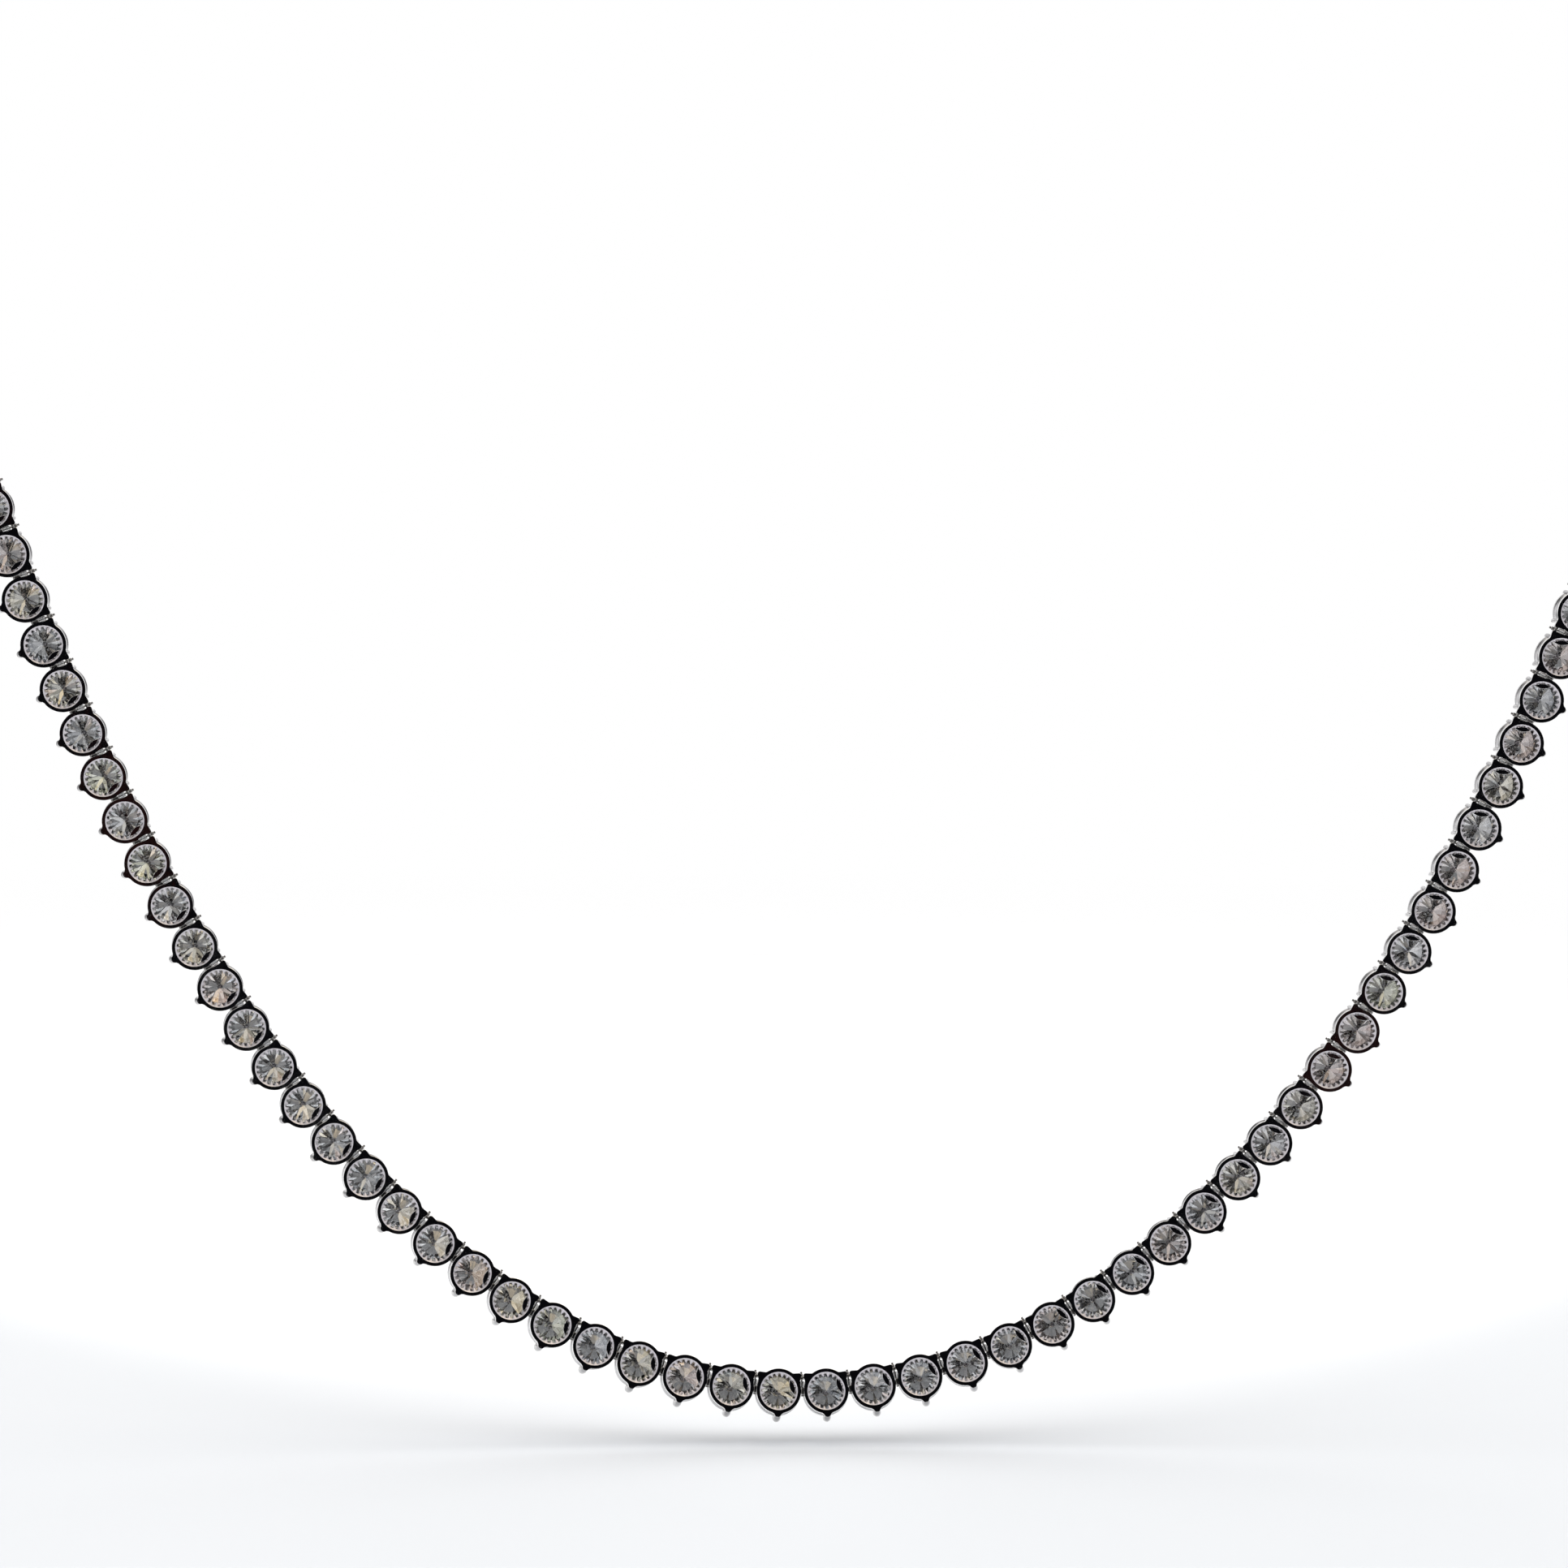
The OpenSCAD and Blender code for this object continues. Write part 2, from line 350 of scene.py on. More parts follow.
# %% [markdown]
# ## White gold
#
# The metal is rhodium plated white gold, polished by hand. Such a surface is a
# mirror with a few faults: soft waves from the polishing buff, hairlines, and
# places that are a little duller. Waves and hairlines are bump only, because a
# colour pattern on a mirror would look like dirt. All of them are read from
# Object coordinates, so they stay with the metal from every side. The first
# cell holds helpers for node trees that the stones, the room and the table
# use too.

# %% Helpers for node trees
def new_finish(name):
    """An empty node material, its tree and its shader."""
    finish = bpy.data.materials.new(name)
    finish.use_nodes = True
    return finish, finish.node_tree, finish.node_tree.nodes["Principled BSDF"]


def noise(tree, vector, scale, detail=2):
    """Soft noise, from 0 to 1."""
    texture = tree.nodes.new("ShaderNodeTexNoise")
    texture.inputs["Scale"].default_value = scale
    texture.inputs["Detail"].default_value = detail
    tree.links.new(vector, texture.inputs["Vector"])
    return texture.outputs["Fac"]


def mapped(tree, value, start, end, low=0.0, high=1.0, kind="LINEAR"):
    """A value between start and end, moved to the range from low to high."""
    change = tree.nodes.new("ShaderNodeMapRange")
    change.interpolation_type = kind
    change.inputs["From Min"].default_value = start
    change.inputs["From Max"].default_value = end
    change.inputs["To Min"].default_value = low
    change.inputs["To Max"].default_value = high
    tree.links.new(value, change.inputs["Value"])
    return change.outputs["Result"]


def mixed(tree, share, first, second, blend="MIX"):
    """A mix of two colours; each input is a node's output or a plain value."""
    mix = tree.nodes.new("ShaderNodeMix")
    mix.data_type = "RGBA"
    mix.blend_type = blend
    for number, source in ((0, share), (6, first), (7, second)):
        if isinstance(source, bpy.types.NodeSocket):
            tree.links.new(source, mix.inputs[number])
        else:
            mix.inputs[number].default_value = source
    return mix.outputs[2]


def bump(tree, height, strength, distance, below=None):
    """A bump from a height, on top of the one below if there is one."""
    bumped = tree.nodes.new("ShaderNodeBump")
    bumped.inputs["Strength"].default_value = strength
    bumped.inputs["Distance"].default_value = distance
    tree.links.new(height, bumped.inputs["Height"])
    if below:
        tree.links.new(below, bumped.inputs["Normal"])
    return bumped.outputs["Normal"]


# %% Polished and lined metal
def polished_metal(name, colour, dull_low, dull_high, wave):
    """White gold with buff waves, hairlines and duller places."""
    finish, tree, shader = new_finish(name)
    shader.inputs["Base Color"].default_value = (*colour, 1)
    shader.inputs["Metallic"].default_value = 1.0
    link = tree.links.new
    where = tree.nodes.new("ShaderNodeTexCoord").outputs["Object"]
    patches = noise(tree, where, 900, 3)
    link(mapped(tree, patches, 0.3, 0.7, dull_low, dull_high), shader.inputs["Roughness"])
    stretch = tree.nodes.new("ShaderNodeMapping")
    stretch.inputs["Scale"].default_value = (9000, 1400, 9000)
    stretch.inputs["Rotation"].default_value = (0.3, 0.2, 0.9)
    link(where, stretch.inputs["Vector"])
    lines = noise(tree, stretch.outputs["Vector"], 1)
    hairlines = bump(tree, lines, 0.06, 0.00001)
    buffed = bump(tree, noise(tree, where, 1500, 1), wave, 0.0001, hairlines)
    link(buffed, shader.inputs["Normal"])
    return finish


flat_gold = polished_metal("white gold, polished flat", (0.80, 0.79, 0.78), 0.03, 0.09, 0.05)
rail_gold = polished_metal("white gold, rounded and buffed", (0.74, 0.73, 0.73), 0.22, 0.36, 0.15)
# The outer claws' copy of the white gold is darkened: painted shade.
shaded_claw_gold = polished_metal("white gold, claw wire darkened as painted shade", (0.50, 0.49, 0.49), 0.14, 0.28, 0.15)
satin_gold = polished_metal("white gold, satin", (0.72, 0.69, 0.72), 0.3, 0.42, 0.1)
# The knuckles' copy is brighter than the rest: a real reflection on the polished tube, made stronger by
# a painted highlight.
highlight_knuckle_gold = polished_metal("white gold, tube brightened as a painted highlight", (0.96, 0.96, 0.96), 0.16, 0.28, 0.05)
# The hinge ears' copy is darkened: painted shade where they sit between the settings.
shaded_hinge_gold = polished_metal("white gold, darkened as painted shade in the hinge", (0.42, 0.41, 0.40), 0.16, 0.3, 0.1)
# The pin is unplated wire, darkened further as painted shade inside the hinge.
shaded_pin_gold = polished_metal("unplated pin wire, darkened as painted shade", (0.33, 0.32, 0.31), 0.2, 0.4, 0.1)
lined_gold = polished_metal("white gold, fine line finish", (0.82, 0.81, 0.80), 0.18, 0.32, 0.12)
print("metal finishes:", [finish.name for finish in bpy.data.materials if "gold" in finish.name])

# %% [markdown]
# ## Back rings
#
# The back of a setting is a thin flat ring round the opening that lets light
# into the stone. At both inner corners it spreads into a flat lug, and at its
# outer side into the foot of the claw, so the whole plate looks like a head
# with two pointed ears. Its outline is drawn for one half and mirrored. Inside,
# each outline point is joined to the round opening at the same angle.

# %% Back rings with their lugs
OPENING_R = 1.61
RING_R = 1.9
RING_H = 0.42
RING_EASE = 0.015


def on_ring(degrees, radius=RING_R):
    """A point of the ring's edge, counted from the row's own direction."""
    return radius * cos(radians(degrees)), radius * sin(radians(degrees))


def back_plate_outline():
    """Right half from the inner side to the tip of the foot, then its mirror."""
    half = [on_ring(degrees) for degrees in (*range(90, 59, -6), 55)]
    half += [(1.20, 1.53), (1.34, 1.54), (1.52, 1.56), (1.70, 1.575), (1.80, 1.54), (1.86, 1.45)]
    half += [(1.845, 1.30), (1.80, 1.10), (1.775, 0.9), (1.79, 0.65), (1.86, 0.38)]
    half += [on_ring(degrees) for degrees in range(4, -77, -8)]
    half += [(0.40, -1.895), (0.33, -1.94), (0.285, -2.0), (0.25, -2.08), (0.185, -2.155), (0.10, -2.2)]
    return half + [(0, -2.215)] + [(-x, y) for x, y in reversed(half[1:])]


def back_plate(outline, opening, low, high, ease):
    """The plate between an outline and a round opening, its outer edge eased."""
    loops = []
    for x, y in outline:
        r = sqrt(x * x + y * y)
        way = Vector((x / r, y / r, 0))
        heights = ((opening, low), (opening, high), (r, high), (r, low + ease), (r - ease, low))
        loops.append([way * radius + Vector((0, 0, z)) for radius, z in heights])
    return skin(loops, wrap=True)


metal_in_row(
    "back_rings", [back_plate(back_plate_outline(), OPENING_R, 0.0, RING_H, RING_EASE)], flat_gold
)

# %% [markdown]
# ## Toothed collars
#
# Just inside the black ring runs a paler band, and its inner edge looks toothed
# all the way round. The teeth may be the play of the stone's own edge, but they
# are nearly as even as cut metal, so here they belong to a thin collar that
# slopes into the opening. It is a profile turned about the axis whose innermost
# point moves in and out, a little less at some teeth than at others. Its satin
# slope throws back the light from the sides of the room.

# %% Collars with small teeth
COLLAR_R = 1.505
TEETH = 20
TOOTH_REACH = 0.32
TOOTH_SHAPE = (0.0, 0.08, 0.6, 1.0, 0.5)
TOOTH_LENGTHS = (1.0, 0.82, 0.94, 0.74, 0.9, 1.0, 0.8)


def toothed_collar():
    """A sloping band in the opening, with teeth along its inner edge."""
    loops = []
    count = TEETH * len(TOOTH_SHAPE)
    for k in range(count):
        angle = 2 * pi * k / count
        length = TOOTH_LENGTHS[k // len(TOOTH_SHAPE) % len(TOOTH_LENGTHS)]
        tip = COLLAR_R - TOOTH_REACH * length * TOOTH_SHAPE[k % len(TOOTH_SHAPE)]
        profile = ((OPENING_R, 0.03), (COLLAR_R, 0.12), (tip, 0.25), (tip, 0.30), (OPENING_R, 0.36))
        loops.append([(r * cos(angle), r * sin(angle), z) for r, z in profile])
    return skin(loops, wrap=True)


metal_in_row("toothed_collars", [toothed_collar()], satin_gold)

# %% [markdown]
# ## Front rails
#
# In front of the back ring, and open to it at the sides, a second ring carries
# the stone. It is turned from one profile: a slope towards the back, which
# shows as a pale line beside the black ring, a plain outer wall, a low rim
# round the stone's edge and a seat that follows the slope of the stone.

# %% Front rails
STONE_R = 1.75
CULET_Z = 0.45
GIRDLE_Z = 1.955
PAVILION_SLOPE = (GIRDLE_Z - CULET_Z) / STONE_R


def seat_z(radius):
    """Height of the seat, a hair below the slope of the stone."""
    return CULET_Z + PAVILION_SLOPE * radius - 0.04


# Radius and height of each corner of the rail.
rail_profile = [
    (1.60, seat_z(1.60) - 0.2),
    (1.66, 1.36),
    (1.74, 1.20),
    (1.79, 1.19),
    (1.91, 1.40),
    (1.94, 1.50),
    (1.94, 1.88),
    (1.89, 1.96),
    (1.81, 1.96),
    (1.76, seat_z(1.76) - 0.01),
    (1.60, seat_z(1.60)),
]
metal_in_row("front_rails", [turned_ring(rail_profile, 48)], rail_gold)

# %% [markdown]
# ## Claws
#
# Three claws hold each stone: one at the outer side and two at the inner
# corners. A claw is a prong that rises from the back ring, swells a little and
# is pushed over the edge of the stone, where its head is rounded. It is a skin
# over circles that follow a short path, each square to the path.

# %% Claws
def claw(degrees, path, count=10):
    """A prong in one direction; path gives radius from the axis, height, size."""
    outward, sideways = ways_at(degrees)
    spots = [outward * r + Vector((0, 0, z)) for r, z, size in path]
    loops = []
    for k, (r, z, size) in enumerate(path):
        way = (spots[min(k + 1, len(spots) - 1)] - spots[max(k - 1, 0)]).normalized()
        loops.append(circle(spots[k], sideways, way.cross(sideways), size, count))
    return skin(loops)


# Radius from the axis, height and size of each step of a claw.
outer_path = [
    (1.97, 0.03, 0.14),
    (2.03, 0.26, 0.22),
    (2.09, 0.60, 0.28),
    (2.12, 1.20, 0.32),
    (2.12, 1.80, 0.335),
    (2.08, 2.14, 0.33),
    (1.99, 2.36, 0.30),
    (1.84, 2.47, 0.27),
    (1.64, 2.47, 0.20),
    (1.52, 2.44, 0.13),
    (1.49, 2.43, 0.05),
]
inner_path = [
    (1.95, 0.28, 0.11),
    (1.95, 0.55, 0.13),
    (1.96, 0.95, 0.15),
    (1.97, 1.35, 0.165),
    (1.98, 1.80, 0.18),
    (1.96, 2.12, 0.185),
    (1.89, 2.31, 0.185),
    (1.76, 2.39, 0.165),
    (1.62, 2.40, 0.13),
    (1.53, 2.38, 0.09),
    (1.50, 2.37, 0.04),
]
INNER_CLAW = 48  # degrees from the row's own direction
inner_pair = [claw(INNER_CLAW, inner_path), claw(180 - INNER_CLAW, inner_path)]
# The outer claws take the darkened copy of the white gold, painted shade.
metal_in_row("outer_claws", [claw(270, outer_path, 14)], shaded_claw_gold)
metal_in_row("inner_claws", inner_pair, rail_gold)

# %% [markdown]
# ## Hinges
#
# On one side each setting has two ears with a pin riveted through them, and on
# the other a knuckle that turns on its neighbour's pin. The knuckle is a short
# tube. Its tongue reaches into the setting, where its polished end shows
# through the opening as a small dark lens.

# %% Ears and pins
PIN_X = PITCH / 2
INNER_EAR_Y = HINGE_Y + 0.42
EAR_R = 0.26
EAR_TUBE_R = 0.15
PIN_R = 0.08


def on_pin(low, high, radius, count=16, ease=0.04):
    """A round bar along the pin, from low to high."""
    return round_bar((PIN_X, low, HINGE_Z), (PIN_X, high, HINGE_Z), radius, count, ease)


ears = [
    on_pin(-0.12, 0.28, EAR_R),
    on_pin(INNER_EAR_Y, INNER_EAR_Y + 0.24, EAR_R),
    on_pin(INNER_EAR_Y + 0.22, 1.62, EAR_TUBE_R),
    block((1.68, -0.2, 0.46), (2.08, 0.38, 1.20)),  # carries the outer ear
    block((1.5, INNER_EAR_Y + 0.02, 0.3), (1.92, INNER_EAR_Y + 0.22, 1.04)),  # carries the inner ear
]
pin_with_heads = [
    on_pin(0.0, 1.68, PIN_R, 10, 0.02),
    on_pin(1.66, 1.79, 0.1, 12, 0.04),  # inner head
    on_pin(-0.3, -0.16, 0.13, 12, 0.05),  # outer head
]
# The ears take the darkened copy of the white gold, painted shade between the settings.
metal_in_row("hinge_ears", ears, shaded_hinge_gold)
# The pins take the darkened wire, painted shade inside the hinge.
metal_in_row("hinge_pins", pin_with_heads, shaded_pin_gold)

# %% Knuckles
KNUCKLE_HALF = 0.28
KNUCKLE_R = 0.2
KNUCKLE_BORE_R = 0.13
KNUCKLE_Y = HINGE_Y - KNUCKLE_HALF
MOUTH_EASE = 0.03


def knuckle_tube(x, low, high, outer, inner, count=18):
    """A short tube round the pin, its mouths eased."""
    loops = []
    for t in [2 * pi * k / count for k in range(count)]:
        way = Vector((cos(t), 0, sin(t)))
        base = Vector((x, 0, HINGE_Z))
        loop = []
        for r, y in (
            (inner, low),
            (outer - MOUTH_EASE, low),
            (outer, low + MOUTH_EASE),
            (outer, high - MOUTH_EASE),
            (outer - MOUTH_EASE, high),
            (inner, high),
        ):
            loop.append(base + way * r + Vector((0, y, 0)))
        loops.append(loop)
    return skin(loops, wrap=True)


knuckle = [
    knuckle_tube(-PIN_X, KNUCKLE_Y, HINGE_Y + KNUCKLE_HALF, KNUCKLE_R, KNUCKLE_BORE_R),
    block((-1.82, KNUCKLE_Y + 0.02, 0.5), (-1.6, HINGE_Y + 0.26, 1.3)),  # root of the tongue
]
# The knuckles take the brightened copy of the white gold, a painted highlight.
metal_in_row("hinge_knuckles", knuckle, highlight_knuckle_gold)


# %% Tongue ends
def lens_plate(degrees, radius, half_length, half_width, low, high):
    """A lens-shaped plate that lies across one direction of the setting."""
    outward, sideways = ways_at(degrees)
    rim = []
    steps = [-1 + k / 4 for k in range(9)]
    for s in steps:
        rim.append((s * half_length, half_width * (1 - s * s)))
    for s in reversed(steps[1:-1]):
        rim.append((s * half_length, -half_width * (1 - s * s)))
    loops = []
    for z, share in ((low, 0.92), (low + 0.02, 1.0), (high, 1.0)):
        flat = [sideways * u * share + outward * (radius + v * share) for u, v in rim]
        loops.append([spot + Vector((0, 0, z)) for spot in flat])
    return skin(loops)


def tongue_foot(degrees, inner, outer, radius=0.06):
    """A thin bar that ties the lens to the back ring; its ends are (radius, height)."""
    outward, sideways = ways_at(degrees)
    start, end = [outward * r + Vector((0, 0, z)) for r, z in (inner, outer)]
    upward = (end - start).normalized().cross(sideways)
    return skin([circle(middle, sideways, upward, radius, 8) for middle in (start, end)])


LENS_WAY = 161  # degrees from the row's own direction
lens = lens_plate(LENS_WAY, radius=1.19, half_length=0.70, half_width=0.2, low=0.13, high=0.24)
metal_in_row("tongue_ends", [lens, tongue_foot(LENS_WAY, (1.24, 0.22), (1.56, 0.27))], flat_gold)

# %% [markdown]
# ## Brilliants
#
# A round brilliant has a table, eight stars, eight kites and sixteen halves
# above its edge, and eight mains and sixteen longer halves below it. The exact
# model leaves out the stars' and mains' fine divisions. Here they are cut in
# full, because the picture inside a stone comes from every facet at once. Each
# flat facet stays one flat face: the corners between table and edge are worked
# out on the planes of the kites, and those near the point on the mains' planes.

# %% One brilliant
TABLE_R = 0.56 * STONE_R
TABLE_Z = GIRDLE_Z + 0.15 * 2 * STONE_R
GIRDLE_H = 0.05
STAR_R = (TABLE_R * cos(radians(22.5)) + STONE_R) / 2
LOWER_R = 0.24 * STONE_R


def at_angle(radius, eighths, z):
    """A point at a number of eighths of the turn."""
    angle = radians(45 * eighths)
    return Vector((radius * cos(angle), radius * sin(angle), z))


def brilliant():
    """Points and faces of one stone, culet down."""
    crown_slope = (TABLE_Z - GIRDLE_Z - GIRDLE_H / 2) / (STONE_R - TABLE_R)
    main_slope = (GIRDLE_Z - GIRDLE_H / 2 - CULET_Z) / STONE_R
    star_z = TABLE_Z - crown_slope * (STAR_R * cos(radians(22.5)) - TABLE_R)
    lower_z = CULET_Z + main_slope * LOWER_R * cos(radians(22.5))
    points = [at_angle(TABLE_R, k, TABLE_Z) for k in range(8)]
    points += [at_angle(STAR_R, k + 0.5, star_z) for k in range(8)]
    points += [at_angle(STONE_R, k / 2, GIRDLE_Z + GIRDLE_H / 2) for k in range(16)]
    points += [at_angle(STONE_R, k / 2, GIRDLE_Z - GIRDLE_H / 2) for k in range(16)]
    points += [at_angle(LOWER_R, k + 0.5, lower_z) for k in range(8)]
    points += [Vector((0, 0, CULET_Z))]
    faces = [tuple(range(8))]
    for k in range(8):
        after = (k + 1) % 8
        before = (k + 7) % 8
        high = 16 + 2 * k
        low = 32 + 2 * k
        faces.append((k, after, 8 + k))
        faces.append((k, 8 + k, high, 8 + before))
        faces.append((8 + k, high, high + 1))
        faces.append((8 + k, high + 1, 16 + (2 * k + 2) % 16))
        faces.append((48 + k, low, low + 1))
        faces.append((48 + k, low + 1, 32 + (2 * k + 2) % 16))
        faces.append((56, 48 + before, low, 48 + k))
    for k in range(16):
        faces.append((16 + k, 16 + (k + 1) % 16, 32 + (k + 1) % 16, 32 + k))
    return points, faces


# %% [markdown]
# A colourless stone bends light strongly, so its facets show bits of the whole
# room, light and dark side by side. It also splits light into colours. Cycles
# bends all colours alike, so each facet at the back gets a tint from its own
# direction instead: painted shade in greys, painted fire in cream, rose or blue.
# The facets at the front stay clear. They are told apart by the seats' front,
# which Geometry Nodes has passed on to the stones. In the photograph the stones
# of the right side, where the seats point down, look greyer and calmer, so there
# the painted greys are evened out into a plainer painted shade.
# Last, every stone gets a slight cast of its own by chance.

# %% Stone and its setting into the row
# Each row is the chance from which a tone holds, and the tone.
# The tones are painted shade in the greys and painted fire in the cream, rose and blue.
PAINTED_FACET_TONES = (
    (0.0, (0.38, 0.39, 0.40)),
    (0.44, (0.62, 0.62, 0.64)),
    (0.63, (0.96, 0.95, 0.92)),
    (0.75, (0.96, 0.82, 0.58)),
    (0.85, (0.26, 0.28, 0.30)),
    (0.93, (0.92, 0.70, 0.64)),
    (0.98, (0.50, 0.62, 0.80)),
)
STONE_CASTS = (
    (0.0, (0.80, 0.82, 0.84)),
    (0.25, (1.0, 1.0, 1.0)),
    (0.45, (1.0, 0.95, 0.80)),
    (0.65, (0.96, 0.97, 0.78)),
    (0.82, (1.0, 0.86, 0.80)),
)


def colour_by_chance(tree, vector, step, stops):
    """A colour picked by chance; vectors within one step get the same one."""
    rounded = tree.nodes.new("ShaderNodeVectorMath")
    rounded.operation = "SNAP"
    rounded.inputs[1].default_value = (step, step, step)
    tree.links.new(vector, rounded.inputs[0])
    chance = tree.nodes.new("ShaderNodeTexWhiteNoise")
    chance.noise_dimensions = "3D"
    tree.links.new(rounded.outputs["Vector"], chance.inputs["Vector"])
    picked = tree.nodes.new("ShaderNodeValToRGB")
    picked.color_ramp.interpolation = "CONSTANT"
    elements = picked.color_ramp.elements
    for k, (position, colour) in enumerate(stops):
        stop = elements[k] if k < 2 else elements.new(position)
        stop.position = position
        stop.color = (*colour, 1)
    tree.links.new(chance.outputs["Value"], picked.inputs["Fac"])
    return picked.outputs["Color"]


def passed_on(tree, name):
    """A direction that Geometry Nodes has passed on from the seats."""
    attribute = tree.nodes.new("ShaderNodeAttribute")
    attribute.attribute_name = name
    return attribute.outputs["Vector"]


def colourless_stone():
    """Clear stone with painted shade and painted fire that differ from facet to facet."""
    finish, tree, shader = new_finish("colourless brilliant")
    shader.inputs["Roughness"].default_value = 0.0
    shader.inputs["IOR"].default_value = 2.42
    shader.inputs["Transmission Weight"].default_value = 1.0
    add = tree.nodes.new
    link = tree.links.new
    facet_way = add("ShaderNodeNewGeometry").outputs["True Normal"]
    side_way = passed_on(tree, "side")
    painted_tint = colour_by_chance(tree, facet_way, 0.05, PAINTED_FACET_TONES)
    slope = add("ShaderNodeSeparateXYZ")
    link(side_way, slope.inputs["Vector"])
    # Where the seats point down, the tints are pulled towards one grey: more painted shade.
    evening = mapped(tree, slope.outputs["Z"], -0.3, -0.8, high=0.6)
    evened = mixed(tree, evening, painted_tint, (0.40, 0.40, 0.42, 1))
    own_cast = colour_by_chance(tree, side_way, 0.001, STONE_CASTS)
    at_back = mixed(tree, 1.0, evened, own_cast, "MULTIPLY")
    facing = add("ShaderNodeVectorMath")
    facing.operation = "DOT_PRODUCT"
    link(facet_way, facing.inputs[0])
    link(passed_on(tree, "front"), facing.inputs[1])
    at_front = add("ShaderNodeMath")
    at_front.operation = "GREATER_THAN"
    at_front.inputs[1].default_value = 0.2
    link(facing.outputs["Value"], at_front.inputs[0])
    tint = mixed(tree, at_front.outputs["Value"], at_back, (0.97, 0.98, 0.99, 1))
    link(tint, shader.inputs["Base Color"])
    return finish


stone = pattern_piece("brilliant", [brilliant()], crease=1)
set_in_row("brilliants", stone, colourless_stone(), STONE_NODES, turn=2 * pi, seed=7)

# %% [markdown]
# ## Clasp
#
# The clasp at the nape is out of the picture. Its exact solid, a plain box with
# eased edges, has the right shape already, so it stays and only gets its
# finish: fine lines, as on a box clasp that is handled often.

# %% Clasp
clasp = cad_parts["clasp"]
for holder in clasp.material_slots:
    holder.material = lined_gold

# %% [markdown]
# ## Light tent
#
# The photograph is nearly all white: a pale table, a bright room, and the
# necklace hanging just above the table. The polished backs still look black.
# A mirror shows what is in front of it, and there stands the photographer's
# side of the room, which is dark. So the surroundings are a pale grey room with
# a bright ceiling, bright sides and a dark field behind the camera. Smaller
# patches, light and dark, give the stones something to break up: in an even
# room a brilliant looks like frosted glass. The camera itself sees plain white,
# as on an overexposed picture, and the room only shows in reflections and
# through the stones. It could be an image of a studio, but a short table of
# directions and tones is easier to change.

# %% Surroundings
AZIMUTH = radians(-3.4)
ELEVATION = radians(4.0)
BACK = Vector((sin(AZIMUTH) * cos(ELEVATION), -cos(AZIMUTH) * cos(ELEVATION), sin(ELEVATION)))


# A patch has a direction, the angle up to which it is full, the angle at which
# it has faded, and its colour.
ROOM = (
    ((0.0, 0.0, 1.0), 20, 60, (1.05, 1.0, 0.94)),
    ((0.0, 1.0, -0.05), 10, 36, (0.40, 0.40, 0.41)),
    ((1.0, 0.1, 0.3), 12, 30, (1.1, 1.1, 1.12)),
    ((-1.0, 0.1, 0.3), 12, 30, (1.1, 1.1, 1.12)),
    ((-0.6, 0.75, 0.5), 14, 26, (0.05, 0.05, 0.05)),
    ((0.4, 0.08, 0.9), 10, 24, (1.7, 1.5, 1.2)),
    ((0.65, 0.7, 0.2), 12, 22, (0.04, 0.04, 0.045)),
    ((0.1, 0.9, 0.8), 10, 20, (0.08, 0.07, 0.07)),
    ((0.0, 0.98, 0.17), 11, 17, (0.95, 0.95, 0.96)),
    ((-0.06, -1.0, 0.02), 34, 42, (0.004, 0.003, 0.003)),
    ((-0.06, -0.85, 0.52), 34, 42, (0.003, 0.003, 0.004)),
    ((0.018, -1.0, -0.02), 0.3, 1.7, (0.014, 0.005, 0.005)),
)
ROOM_BASE = (0.62, 0.62, 0.63)


def surroundings():
    """Pale room with bright and dark patches; the camera itself sees white."""
    world = bpy.data.worlds.new("light tent")
    world.use_nodes = True
    tree = world.node_tree
    tree.nodes.clear()
    add = tree.nodes.new
    link = tree.links.new
    where = add("ShaderNodeTexCoord")
    base = add("ShaderNodeRGB")
    base.outputs[0].default_value = (*ROOM_BASE, 1)
    so_far = base.outputs[0]
    for way, full, faded, colour in ROOM:
        facing = add("ShaderNodeVectorMath")
        facing.operation = "DOT_PRODUCT"
        facing.inputs[1].default_value = Vector(way).normalized()
        link(where.outputs["Generated"], facing.inputs[0])
        edge, core = cos(radians(faded)), cos(radians(full))
        patch = mapped(tree, facing.outputs["Value"], edge, core, kind="SMOOTHSTEP")
        so_far = mixed(tree, patch, so_far, (*colour, 1))
    lit = add("ShaderNodeBackground")
    link(so_far, lit.inputs["Color"])
    seen = add("ShaderNodeBackground")
    seen.inputs["Color"].default_value = (1, 1, 1, 1)
    ray = add("ShaderNodeLightPath")
    both = add("ShaderNodeMixShader")
    link(ray.outputs["Is Camera Ray"], both.inputs[0])
    link(lit.outputs["Background"], both.inputs[1])
    link(seen.outputs["Background"], both.inputs[2])
    out = add("ShaderNodeOutputWorld")
    link(both.outputs["Shader"], out.inputs["Surface"])
    return world


bpy.context.scene.world = surroundings()
print("patches in the room:", len(ROOM))

# %% [markdown]
# The table is a wide pale sheet just below the lowest claw. Behind the row its
# colour is paler, a painted pool of light, from a line that bends back at both
# sides. Further away it fades, so that no edge of it shows against the white
# room. In the photograph two faint shadows cross under the lowest stones: one
# bends up at both sides and one bends down. So there are two lamps, one on the
# camera's side of the row and one beyond it. Both are wide, so that the shadows
# of single settings run together.

# %% Table
FLOOR_Z = -144.1 * MM
FLOOR_HALF = 1.5
TABLE_TONES = ((0.487, 0.513, 0.551, 1), (0.510, 0.532, 0.571, 1))
PAINTED_LIGHT_TONE = (0.63, 0.648, 0.68, 1)


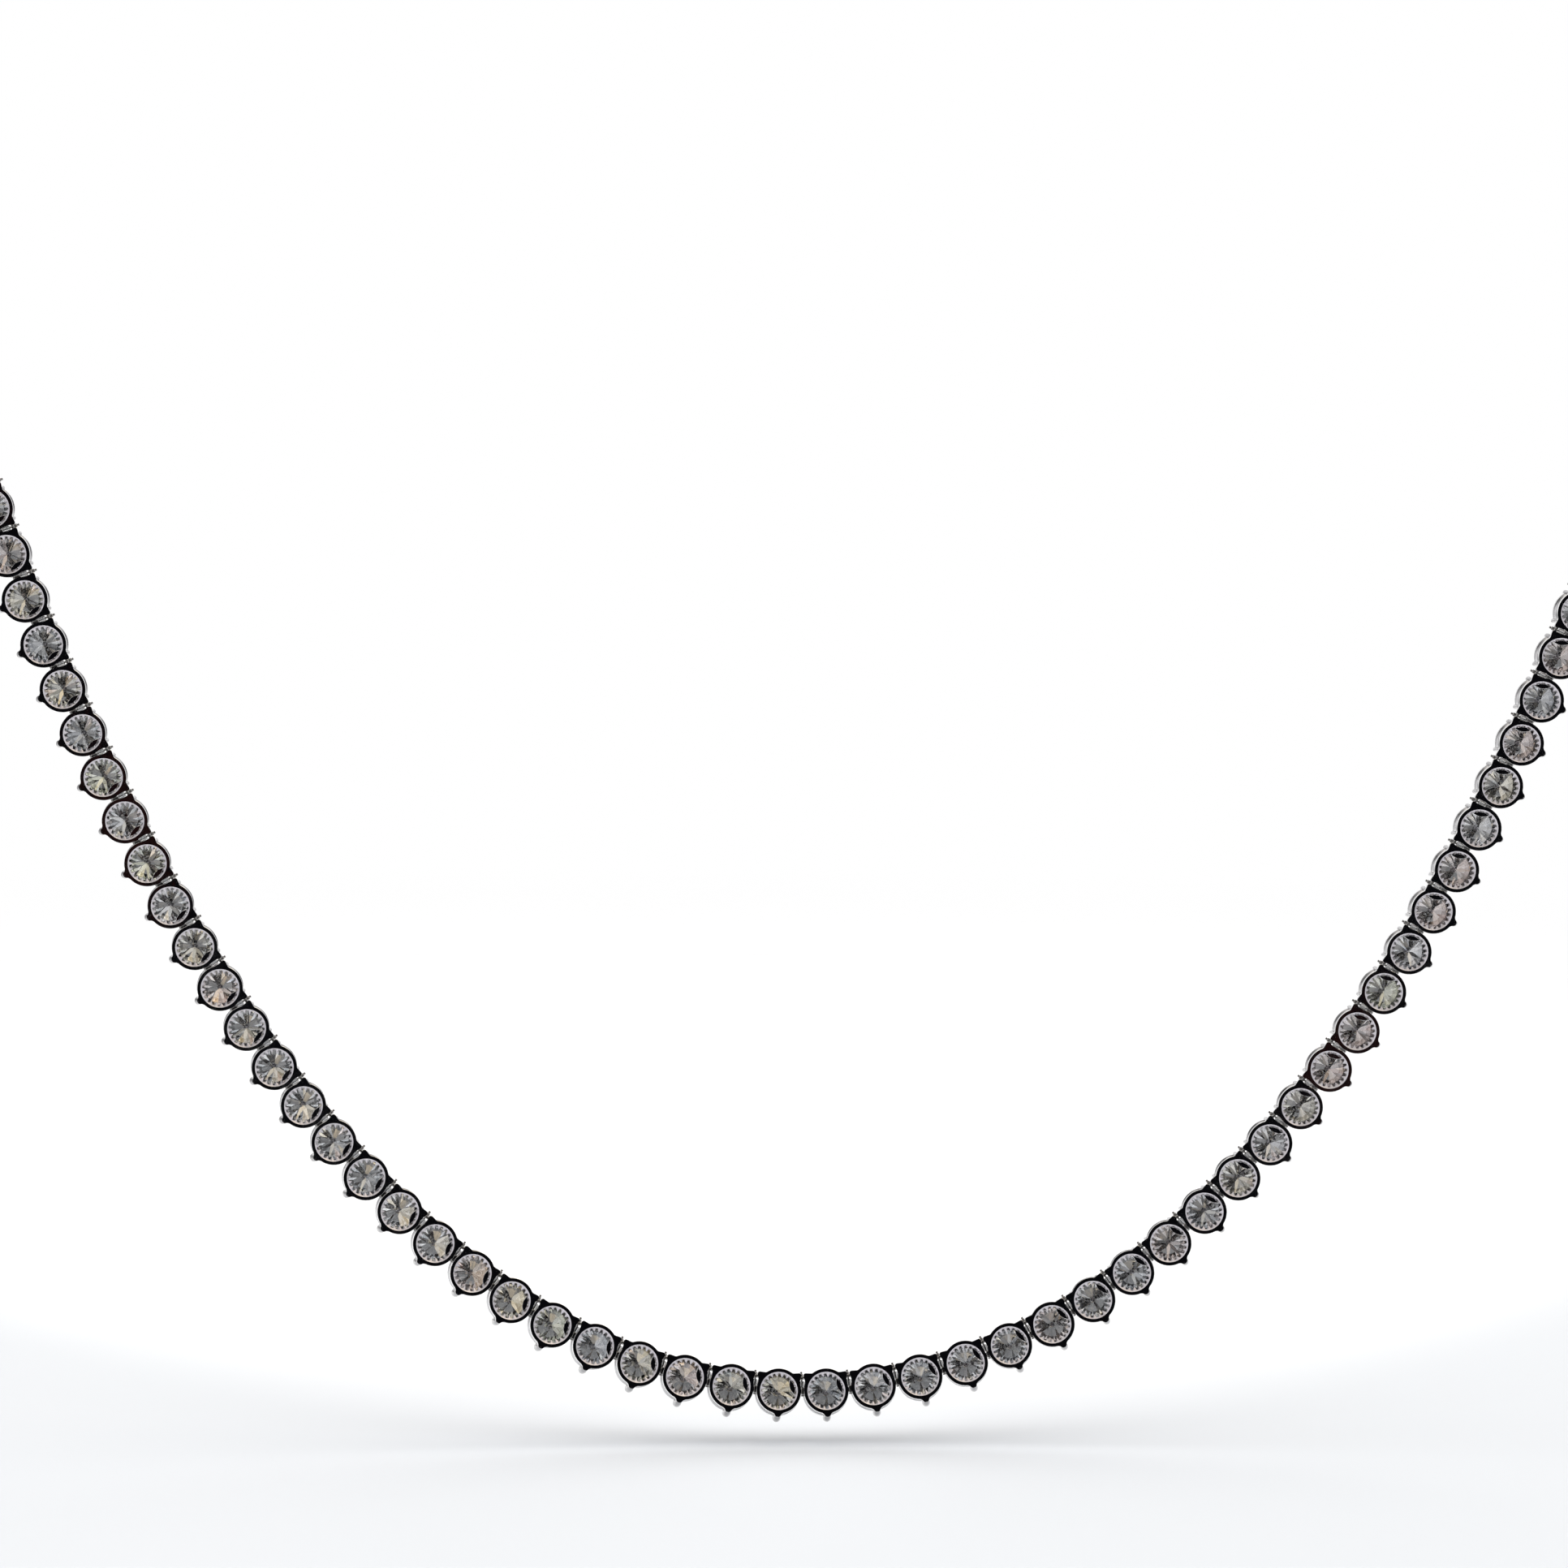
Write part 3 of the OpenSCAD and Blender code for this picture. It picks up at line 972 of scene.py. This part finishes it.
def table_finish():
    """Pale and slightly uneven, paler behind the row as painted light, and fading far away."""
    finish, tree, shader = new_finish("pale table")
    shader.inputs["Roughness"].default_value = 0.7
    shader.inputs["Specular IOR Level"].default_value = 0.2
    add = tree.nodes.new
    link = tree.links.new
    where = add("ShaderNodeTexCoord").outputs["Object"]
    tone = mixed(tree, noise(tree, where, 14), *TABLE_TONES)
    place = add("ShaderNodeSeparateXYZ")
    link(where, place.inputs["Vector"])
    bow = add("ShaderNodeMath")
    bow.operation = "MULTIPLY"
    link(place.outputs["X"], bow.inputs[0])
    link(place.outputs["X"], bow.inputs[1])
    bent = add("ShaderNodeMath")
    bent.operation = "MULTIPLY_ADD"
    bent.inputs[1].default_value = -8.0
    link(bow.outputs["Value"], bent.inputs[0])
    link(place.outputs["Y"], bent.inputs[2])
    # Behind a line that bends back at both sides the colour turns paler: a painted pool of light.
    behind = mapped(tree, bent.outputs["Value"], 0.028, 0.07, kind="SMOOTHSTEP")
    link(mixed(tree, behind, tone, PAINTED_LIGHT_TONE), shader.inputs["Base Color"])
    distance = add("ShaderNodeVectorMath")
    distance.operation = "LENGTH"
    link(where, distance.inputs[0])
    gone = add("ShaderNodeBsdfTransparent")
    both = add("ShaderNodeMixShader")
    link(mapped(tree, distance.outputs["Value"], 0.16, 0.6, kind="SMOOTHSTEP"), both.inputs[0])
    link(shader.outputs["BSDF"], both.inputs[1])
    link(gone.outputs["BSDF"], both.inputs[2])
    link(both.outputs["Shader"], tree.nodes["Material Output"].inputs["Surface"])
    return finish


def table_sheet():
    """Lays a wide sheet below the necklace."""
    mesh = bpy.data.meshes.new("table")
    corners = [(-1, -1), (1, -1), (1, 1), (-1, 1)]
    mesh.from_pydata([(x * FLOOR_HALF, y * FLOOR_HALF, FLOOR_Z) for x, y in corners], [], [(0, 1, 2, 3)])
    mesh.materials.append(table_finish())
    table = bpy.data.objects.new("table", mesh)
    bpy.context.scene.collection.objects.link(table)


table_sheet()
print("table at", FLOOR_Z, "m")


# %% Lamps
LAMP_WIDTH = 1.2
BELOW_ROW = Vector((0, 0.03, FLOOR_Z))


def soft_lamp(name, away, depth, power):
    """A wide flat lamp that lights only the table, aimed below the row."""
    light = bpy.data.lights.new(name, "AREA")
    light.shape = "RECTANGLE"
    light.size = LAMP_WIDTH
    light.size_y = depth
    light.energy = power
    light.color = (1.0, 0.98, 0.94)
    lamp = bpy.data.objects.new(name, light)
    lamp.location = BELOW_ROW + away
    lamp.rotation_euler = (-away).to_track_quat("-Z", "Y").to_euler()
    lamp.visible_transmission = False
    lamp.visible_glossy = False
    bpy.context.scene.collection.objects.link(lamp)


soft_lamp("near lamp", Vector((0, -0.18, 0.60)), depth=0.62, power=6.0)
soft_lamp("far lamp", Vector((0, 0.42, 0.45)), depth=0.34, power=3.0)

# %% [markdown]
# ## Camera
#
# The camera stands behind the necklace, a little above its lowest part, close
# enough for the side rows to show their inner walls. Its place was found by
# laying the row of stones over the photograph. It leans a hair to one side, as
# a camera held by hand does.

# %% Camera
ROLL = radians(0.59)
AIM = Vector((-2.05, 30.7, -87.98)) * MM
DISTANCE = 350 * MM
LENS = 95.57  # millimetres, on a 36 mm wide sensor
level_right = Vector((0, 0, 1)).cross(BACK).normalized()
level_up = BACK.cross(level_right)
right = level_right * cos(ROLL) + level_up * sin(ROLL)
up = level_up * cos(ROLL) - level_right * sin(ROLL)
camera_data = bpy.data.cameras.new("camera")
camera_data.lens = LENS
camera_data.sensor_width = 36.0
camera_data.clip_start = 0.01
camera_data.clip_end = 20.0
camera = bpy.data.objects.new("camera", camera_data)
turn = Matrix((right, up, BACK)).transposed().to_4x4()
camera.matrix_world = Matrix.Translation(AIM + DISTANCE * BACK) @ turn
bpy.context.scene.collection.objects.link(camera)
bpy.context.scene.camera = camera
bpy.context.scene.view_settings.view_transform = "Standard"
print("camera at", camera.location)
